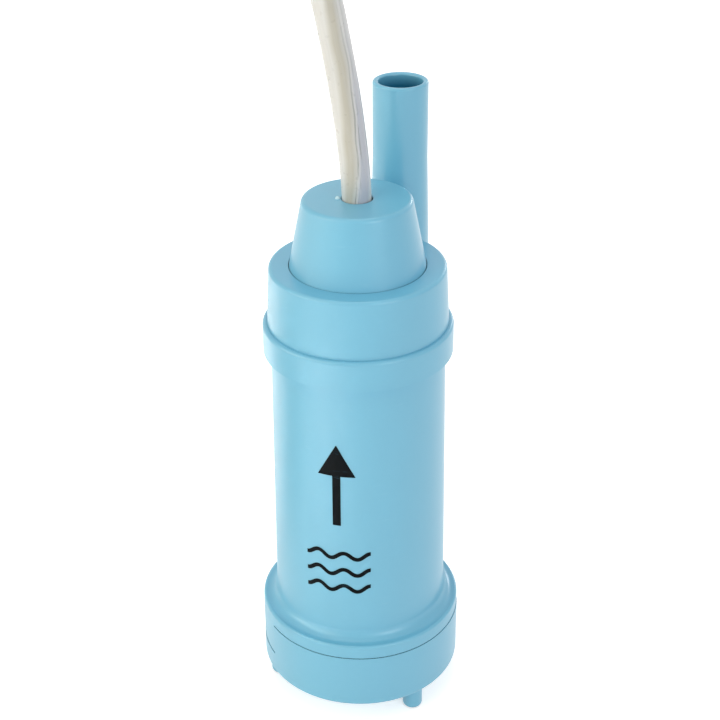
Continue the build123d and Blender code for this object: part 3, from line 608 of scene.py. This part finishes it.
printShape = {
    "azimuth": 255.0,
    "footZ": 0.0149,
    "footRadius": 0.0172,
    "headZ": 0.0716,
    "headRadius": 0.01658,
    "lift": 0.00004,
    "rows": 12,
    "shaft": {"low": 0.0415, "high": 0.0525, "width": 0.0016, "parts": 6, "narrowing": 0.0},
    "head": {"low": 0.0525, "high": 0.0592, "width": 0.0074, "parts": 16, "narrowing": 0.985},
    "waves": [0.0345, 0.0307, 0.0269],
    "waveLength": 0.0052,
    "waveCount": 2.5,
    "waveHeight": 0.00065,
    "waveSteps": 60,
    "lineWidth": 0.00085,
}


def onBarrel(across, height, shape):
    # A flat drawing place, laid round the tapering barrel.
    share = (height - shape["footZ"]) / (shape["headZ"] - shape["footZ"])
    radius = shape["footRadius"] + share * (shape["headRadius"] - shape["footRadius"])
    angle = math.radians(shape["azimuth"]) + across / radius
    radius += shape["lift"]
    return (radius * math.cos(angle), radius * math.sin(angle), height)


def addRows(mesh, rows, shape):
    # Rows of equal length become a sheet of four-sided faces.
    grid = [[mesh.verts.new(onBarrel(across, height, shape)) for across, height in row] for row in rows]
    for low, high in zip(grid, grid[1:]):
        for left, right, aboveRight, aboveLeft in zip(low, low[1:], high[1:], high):
            mesh.faces.new((left, right, aboveRight, aboveLeft))


def arrowRows(bar, count):
    # The arrow's shaft or head, row by row upwards.
    rows = []
    for step in range(count + 1):
        share = step / count
        width = bar["width"] * (1 - bar["narrowing"] * share)
        height = bar["low"] + (bar["high"] - bar["low"]) * share
        rows.append([((part / bar["parts"] - 0.5) * width, height) for part in range(bar["parts"] + 1)])
    return rows


def waveRows(level, shape):
    # Lower and upper edge of a wavy line that is equally thick all along.
    lower, upper = [], []
    turn = 2 * math.pi / shape["waveLength"]
    for step in range(shape["waveSteps"] + 1):
        across = (step / shape["waveSteps"] - 0.5) * shape["waveCount"] * shape["waveLength"]
        slope = shape["waveHeight"] * turn * math.cos(turn * across)
        half = shape["lineWidth"] / 2 * math.sqrt(1 + slope * slope)
        middle = level + shape["waveHeight"] * math.sin(turn * across)
        lower.append((across, middle - half))
        upper.append((across, middle + half))
    return [lower, upper]


def newPiece(name, mesh, finish):
    data = bpy.data.meshes.new(name)
    mesh.to_mesh(data)
    mesh.free()
    data.materials.append(finish)
    piece = bpy.data.objects.new(name, data)
    scene.collection.objects.link(piece)
    return piece


def makePrint(shape, finish):
    # An arrow upwards over three wavy lines: the way the water goes.
    mesh = bmesh.new()
    for bar in (shape["shaft"], shape["head"]):
        addRows(mesh, arrowRows(bar, shape["rows"]), shape)
    for level in shape["waves"]:
        addRows(mesh, waveRows(level, shape), shape)
    piece = newPiece("flowMark", mesh, finish)
    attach(piece, "body")


printInk = makeFinish(
    "printInk",
    mouldedSurface,
    {
        "Color": (0.004, 0.005, 0.006, 1),
        "Scuff Color": (0.08, 0.25, 0.36, 1),
        "Mottle": 0.1,
        "Scuffs": 0.3,
        "Low Roughness": 0.45,
        "High Roughness": 0.55,
        "Grain": 0.1,
    },
    specular=0.04,
)
makePrint(printShape, printInk)

gateShape = {
    "place": (-0.00355, -0.0004, 0.1018),
    "radius": 0.00045,
    "height": 0.0005,
    "rings": 6,
    "sides": 24,
}


def makeGateMark(shape, finish):
    # The low round stub that the mould's feed leaves beside the lead.
    mesh = bmesh.new()
    x, y, z = shape["place"]
    top = mesh.verts.new((x, y, z + shape["height"]))
    angles = [2 * math.pi * side / shape["sides"] for side in range(shape["sides"])]
    rings = []
    for ring in range(1, shape["rings"] + 1):
        turn = math.pi / 2 * ring / shape["rings"]
        reach, level = shape["radius"] * math.sin(turn), z + shape["height"] * math.cos(turn)
        places = [(x + reach * math.cos(angle), y + reach * math.sin(angle), level) for angle in angles]
        rings.append([mesh.verts.new(place) for place in places])
    for side in range(shape["sides"]):
        after = (side + 1) % shape["sides"]
        mesh.faces.new((top, rings[0][side], rings[0][after]))
        for inner, outer in zip(rings, rings[1:]):
            mesh.faces.new((inner[side], outer[side], outer[after], inner[after]))
    for face in mesh.faces:
        face.smooth = True
    piece = newPiece("gateMark", mesh, finish)
    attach(piece, "body")


gatePlastic = makeFinish(
    "gatePlastic",
    mouldedSurface,
    {
        "Color": (0.5, 0.74, 0.82, 1),
        "Scuff Color": (0.8, 0.9, 0.93, 1),
        "Mottle": 0.2,
        "Scuffs": 0.5,
        "Low Roughness": 0.2,
        "High Roughness": 0.3,
        "Grain": 0.3,
    },
    coat=0.5,
)
makeGateMark(gateShape, gatePlastic)
print("mark and gate stub added")

# Lead

leadShape = {
    "diameter": 0.0054,
    "sides": 10,
    "exit": (0.0, 0.0, 0.1018),
    "route": [
        (0.0, 0.0, 0.0849),
        (0.0, 0.0, 0.0945),
        (-0.0001, 0.0, 0.1049),
        (-0.0011, 0.0, 0.1152),
        (-0.0028, 0.0, 0.1270),
        (-0.0064, 0.0, 0.1460),
        (-0.0196, -0.0012, 0.1627),
        (-0.0400, -0.0040, 0.1679),
        (-0.0590, -0.0085, 0.1598),
        (-0.0695, -0.0130, 0.1415),
        (-0.0720, -0.0170, 0.1130),
        (-0.0725, -0.0200, 0.0870),
        (-0.0728, -0.0218, 0.0619),
        (-0.0765, -0.0221, 0.0394),
        (-0.0895, -0.0221, 0.0221),
        (-0.1085, -0.0221, 0.0157),
        (-0.1262, -0.0221, 0.0157),
    ],
    "hankCentre": -0.1176,
    "straight": 0.028,
    "foldRadius": 0.0162,
    "laneStep": 0.0059,
    "layerStep": 0.0059,
    "topLayer": 0.0157,
    "dropEvery": 3,
    "lanes": [0, 0, 1, 1, 0, 0, 0, 1, 1, 1, 0, 0],  # outer and inner lane, straight by straight
    "pointsPerFold": 8,
    "straightShares": [0.16, 0.33, 0.5, 0.67, 0.84],
}


def easeDown(share, run, drop):
    # Height lost along a straight that bends down and back level on two equal arcs.
    radius = (run * run + drop * drop) / (4 * drop)
    if share > 0.5:
        return drop - easeDown(1 - share, run, drop)
    return radius - math.sqrt(radius * radius - (share * run) ** 2)


def laneReach(lane, shape):
    # How far a straight lies from the hank's long axis: lane 0 is the outer one.
    return shape["foldRadius"] + (1 - lane) * shape["laneStep"]


def hankPoints(shape):
    # Straights of the folded lead, each followed by a level fold, with a way down every few straights.
    centre, run = shape["hankCentre"], shape["straight"]
    count, lanes = shape["pointsPerFold"], shape["lanes"]
    swell = 1 / (0.75 + 0.25 * math.cos(math.pi / count))  # the curve runs this much inside its points
    points = []
    height = shape["topLayer"]
    for number, lane in enumerate(lanes):
        heading = 1 if number % 2 else -1
        last = number == len(lanes) - 1
        y = heading * laneReach(lane, shape)
        drops = number % shape["dropEvery"] == shape["dropEvery"] - 1 and not last
        drop = shape["layerStep"] if drops else 0.0
        for share in shape["straightShares"] if number else []:  # the free lead ends on the first straight
            fall = easeDown(share, run, drop) if drops else 0.0
            points.append((centre + heading * (share - 0.5) * run, y, height - fall))
        height -= drop
        if last:
            points.append((centre + heading * run / 2, y, height))
            break
        nextY = -heading * laneReach(lanes[number + 1], shape)
        middle, radius = (y + nextY) / 2, abs(y - nextY) / 2 * swell
        for step in range(count):
            angle = math.pi * (step + 0.5) / count
            x = centre + heading * (run / 2 + radius * math.sin(angle))
            points.append((x, middle + heading * radius * math.cos(angle), height))
    return points


def makeCurve(name, runs, radius, sides, resolution=6):
    # A round cord along each run of points.
    data = bpy.data.curves.new(name, "CURVE")
    data.dimensions = "3D"
    for run in runs:
        spline = data.splines.new("NURBS")
        spline.points.add(len(run) - 1)
        for point, place in zip(spline.points, run):
            point.co = (*place, 1.0)
        spline.order_u = 3
        spline.use_endpoint_u = True
        spline.use_smooth = True
    data.resolution_u = resolution
    data.bevel_depth = radius
    data.bevel_resolution = sides
    data.use_fill_caps = True
    data.twist_mode = "MINIMUM"
    curve = bpy.data.objects.new(name, data)
    scene.collection.objects.link(curve)
    return curve


sheathLook = {
    "white": (0.69, 0.685, 0.66, 1),
    "straw": (0.49, 0.465, 0.385, 1),
    "gray": (0.45, 0.47, 0.54, 1),
    "crease": (0.12, 0.13, 0.12, 1),
    "cloud": (0.56, 0.555, 0.53, 1),
    "speck": (0.16, 0.15, 0.11, 1),
    "twists": -7.5,  # turns of the two cores along the lead
    "start": 0.2325,  # turns at the inner end
    "wander": 0.14,  # turns that the bands stray
    "strawBand": (0.3, 0.025, 0.06),  # each band: middle, half width and soft edge, in shares of a turn
    "grayBand": (0.465, 0.045, 0.05),
    "creaseBands": [(0.375, 0.0, 0.014), (0.415, 0.0, 0.012)],
    "strawShare": 0.9,
    "grayShare": 0.85,
    "fadeOut": (0.017, 0.026, 1.0, 0.15),  # from and to, in shares of the lead, and the strength there
    "creaseGaps": (0.42, 0.55, 0.0, 0.75),
    "clouds": (0.45, 0.75, 0.0, 0.4),
    "speckCells": 260.0,
    "speckEdge": (0.05, 0.11, 0.55, 0.0),
    "driftNoise": (60.0, 2.0, 0.5),
    "fineNoise": (900.0, 3.0, 0.5),
    "streakNoise": (1.0, 3.0, 0.6),
    "streakStretch": (160.0, 26.0, 1.0),
    "roughness": (0.26, 0.38),
    "subsurface": 0.2,
    "subsurfaceRadius": (1.0, 0.9, 0.8),
    "subsurfaceScale": 0.0008,
    "creaseRelief": 0.8,
    "fineRelief": 0.5,
    "relief": 0.35,
    "reliefDepth": 0.00025,
}


def makeSheathFinish(look):
    # White PVC that lets the twisted cores show as a straw and a violet-gray band, with creases and specks.
    material = bpy.data.materials.new("whiteSheath")
    material.use_nodes = True
    tree = material.node_tree
    shader = tree.nodes["Principled BSDF"]
    coords = tree.nodes.new("ShaderNodeTexCoord")
    split = tree.nodes.new("ShaderNodeSeparateXYZ")
    tree.links.new(coords.outputs["UV"], split.inputs[0])
    along, around = split.outputs["X"], split.outputs["Y"]
    drift = addNoise(tree, coords.outputs["Object"], *look["driftNoise"])
    fine = addNoise(tree, coords.outputs["Object"], *look["fineNoise"])
    streaks = addNoise(tree, coords.outputs["UV"], *look["streakNoise"], stretch=look["streakStretch"])
    wander = addMath(tree, "MULTIPLY", addMath(tree, "SUBTRACT", drift, 0.5), look["wander"])
    twisted = addMath(tree, "ADD", around, addMath(tree, "MULTIPLY", along, look["twists"]))
    turned = addMath(tree, "ADD", twisted, wander)
    phase = addMath(tree, "FRACT", addMath(tree, "ADD", turned, look["start"]))

    def addBand(middle, half, soft):
        away = addMath(tree, "ABSOLUTE", addMath(tree, "SUBTRACT", phase, middle))
        return addRange(tree, away, half, half + soft, 1.0, 0.0)

    strawBand = addBand(*look["strawBand"])
    grayBand = addBand(*look["grayBand"])
    creases = addMath(tree, "MAXIMUM", *[addBand(*band) for band in look["creaseBands"]])
    nearCap = addRange(tree, along, *look["fadeOut"])
    strawShare = addMath(tree, "MULTIPLY", strawBand, look["strawShare"])
    grayShare = addMath(tree, "MULTIPLY", addMath(tree, "MULTIPLY", grayBand, nearCap), look["grayShare"])
    broken = addMath(tree, "MULTIPLY", addRange(tree, streaks, *look["creaseGaps"]), nearCap)
    toSpeck = addCells(tree, coords.outputs["Object"], look["speckCells"])[0]
    specks = addRange(tree, toSpeck, *look["speckEdge"])
    color = addMix(tree, strawShare, look["white"], look["straw"])
    color = addMix(tree, grayShare, color, look["gray"])
    color = addMix(tree, addMath(tree, "MULTIPLY", creases, broken), color, look["crease"])
    color = addMix(tree, addRange(tree, streaks, *look["clouds"]), color, look["cloud"])
    color = addMix(tree, addMath(tree, "MULTIPLY", specks, strawBand), color, look["speck"])
    tree.links.new(color, shader.inputs["Base Color"])
    tree.links.new(addRange(tree, fine, *noiseRange, *look["roughness"]), shader.inputs["Roughness"])
    shader.inputs["Subsurface Weight"].default_value = look["subsurface"]
    shader.inputs["Subsurface Radius"].default_value = look["subsurfaceRadius"]
    shader.inputs["Subsurface Scale"].default_value = look["subsurfaceScale"]
    cuts = addMath(tree, "MULTIPLY", creases, look["creaseRelief"])
    ridges = addMath(tree, "SUBTRACT", addMath(tree, "ADD", strawBand, grayBand), cuts)
    height = addMath(tree, "ADD", addMath(tree, "MULTIPLY", fine, look["fineRelief"]), ridges)
    tree.links.new(addBump(tree, height, look["relief"], look["reliefDepth"]), shader.inputs["Normal"])
    return material


leadRun = leadShape["route"] + hankPoints(leadShape)
lead = makeCurve("leadSheath", [leadRun], leadShape["diameter"] / 2, leadShape["sides"])
lead.data.materials.append(makeSheathFinish(sheathLook))
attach(lead, "body")
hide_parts("cable_run", "cable_coil")

endShape = {
    "radius": 0.00095,
    "sides": 6,
    "spread": 0.00125,
    "sheathX": -0.1036,
    "sheathY": 0.0221,
    "length": 0.014,
    "bends": (0.25, 0.75),  # shares of the length where the core dips to the floor
    "sheathZ": -0.002,
    "floorZ": -0.00435,
    "strandStart": 0.0136,  # just inside the core's end
    "strandRadius": 0.0007,
    "strandLength": 0.006,
    "strandSteps": 8,
    "strandTwist": 2.4,
    "filament": 0.00021,
    "filamentSides": 3,
    "filamentResolution": 12,
    "filamentsRound": 6,
}


def filamentPoints(number, y, shape):
    # One bare filament: the last is the straight middle one and the others are laid round it.
    laid = number < shape["filamentsRound"]
    reach = shape["strandRadius"] - shape["filament"] if laid else 0.0
    points = []
    for step in range(shape["strandSteps"] + 1):
        share = step / shape["strandSteps"]
        angle = 2 * math.pi * number / shape["filamentsRound"] + share * shape["strandTwist"]
        x = shape["sheathX"] + shape["strandStart"] + share * shape["strandLength"]
        points.append((x, y + reach * math.cos(angle), shape["floorZ"] + reach * math.sin(angle)))
    return points


def makeStrippedEnd(label, side, finish, shape):
    y = shape["sheathY"] + side * shape["spread"]
    shares = (0.0, *shape["bends"], 1.0)
    levels = (shape["sheathZ"], shape["sheathZ"], shape["floorZ"], shape["floorZ"])
    run = [(shape["sheathX"] + share * shape["length"], y, level) for share, level in zip(shares, levels)]
    core = makeCurve(label + "Core", [run], shape["radius"], shape["sides"])
    core.data.materials.append(finish)
    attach(core, "body")
    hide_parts(label + "_core")
    strands = makeCurve(
        label + "Strands",
        [filamentPoints(number, y, shape) for number in range(shape["filamentsRound"] + 1)],
        shape["filament"],
        shape["filamentSides"],
        shape["filamentResolution"],
    )
    strands.data.materials.append(bareCopper)
    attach(strands, "body")
    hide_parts(label + "_strands")
    return [core, strands]


coreValues = {"Mottle": 0.15, "Scuffs": 0.2, "Low Roughness": 0.28, "High Roughness": 0.4, "Grain": 0.15}
coreColors = {
    "brown": {"Color": (0.12, 0.045, 0.022, 1), "Scuff Color": (0.29, 0.14, 0.094, 1)},
    "blue": {"Color": (0.03, 0.12, 0.42, 1), "Scuff Color": (0.11, 0.29, 0.89, 1)},
}
ends = []
for side, label in ((1, "brown"), (-1, "blue")):
    coreFinish = makeFinish(label + "Core", mouldedSurface, coreValues | coreColors[label])
    ends += makeStrippedEnd(label, side, coreFinish, endShape)
    innerLead = nodes[label + "_lead"].data
    innerLead.materials.clear()
    innerLead.materials.append(coreFinish)
print("lead routed and coiled")

# Light, floor and background

studio = {
    "floorZ": -0.0053,
    "floorSize": 6.0,
    "floorColor": (0.86, 0.86, 0.86, 1),
    "floorRoughness": 0.9,
    "floorGlow": 0.56,
    "ambient": 0.58,
    "lamps": [  # name, place, target, size, watts, spread in degrees, colour
        ("keyBox", (-0.85, -0.57, 0.6), (0.0, 0.0, 0.05), 1.0, 4.3, 180, (1, 0.95, 0.79)),
        ("rightBox", (0.55, -0.75, 0.4), (0.0, 0.0, 0.05), 0.5, 2.1, 180, (0.92, 0.97, 1)),
        ("leftBox", (-0.9, -0.16, 0.22), (0.0, 0.0, 0.08), 0.3, 1.6, 180, (1, 0.93, 0.79)),
        ("frontPatch", (-0.12, -0.12, 0.5), (-0.12, -0.12, 0.0), 0.1, 0.3, 18, (1, 1, 1)),
        ("backPatch", (-0.13, 0.12, 0.5), (-0.13, 0.12, 0.0), 0.1, 0.08, 20, (1, 0.97, 0.92)),
        ("topBox", (-0.05, 0.15, 1.1), (0.0, 0.0, 0.05), 0.6, 2.0, 180, (1, 1, 1)),
        ("rimBox", (0.5, 0.85, 0.3), (0.0, 0.0, 0.09), 0.12, 0.8, 180, (1, 1, 1)),
    ],
}


def addBackgroundShare(tree):
    # One where the eye, a reflection or a view through glass meets the background.
    path = tree.nodes.new("ShaderNodeLightPath")
    seen = addMath(tree, "MAXIMUM", path.outputs["Is Camera Ray"], path.outputs["Is Glossy Ray"])
    return addMath(tree, "MAXIMUM", seen, path.outputs["Is Transmission Ray"])


def makeBackground(settings):
    world = bpy.data.worlds.new("studioWorld")
    world.use_nodes = True
    scene.world = world
    tree = world.node_tree
    background = tree.nodes["Background"]
    background.inputs["Color"].default_value = (1, 1, 1, 1)
    strength = addRange(tree, addBackgroundShare(tree), 0.0, 1.0, settings["ambient"], 1.0)
    tree.links.new(strength, background.inputs["Strength"])


def makeFloor(settings):
    half = settings["floorSize"] / 2
    corners = [(x * half, y * half, settings["floorZ"]) for x, y in ((-1, -1), (1, -1), (1, 1), (-1, 1))]
    mesh = bpy.data.meshes.new("studioFloor")
    mesh.from_pydata(corners, [], [(0, 1, 2, 3)])
    floor = bpy.data.objects.new("studioFloor", mesh)
    scene.collection.objects.link(floor)
    material = bpy.data.materials.new("whiteFloor")
    material.use_nodes = True
    tree = material.node_tree
    shader = tree.nodes["Principled BSDF"]
    shader.inputs["Base Color"].default_value = settings["floorColor"]
    shader.inputs["Roughness"].default_value = settings["floorRoughness"]
    shader.inputs["Specular IOR Level"].default_value = 0.0
    shader.inputs["Emission Color"].default_value = (1, 1, 1, 1)
    glow = addMath(tree, "MULTIPLY", addBackgroundShare(tree), settings["floorGlow"])
    tree.links.new(glow, shader.inputs["Emission Strength"])
    mesh.materials.append(material)


def placeLamp(name, place, target, size, watts, spread, color):
    data = bpy.data.lights.new(name, "AREA")
    data.shape = "DISK"
    data.size = size
    data.energy = watts
    data.color = color
    data.spread = math.radians(spread)
    lamp = bpy.data.objects.new(name, data)
    lamp.location = place
    lamp.rotation_euler = (Vector(target) - Vector(place)).to_track_quat("-Z", "Y").to_euler()
    scene.collection.objects.link(lamp)


makeBackground(studio)
makeFloor(studio)
for lamp in studio["lamps"]:
    placeLamp(*lamp)
scene.view_settings.view_transform = "Standard"
print("studio lit")
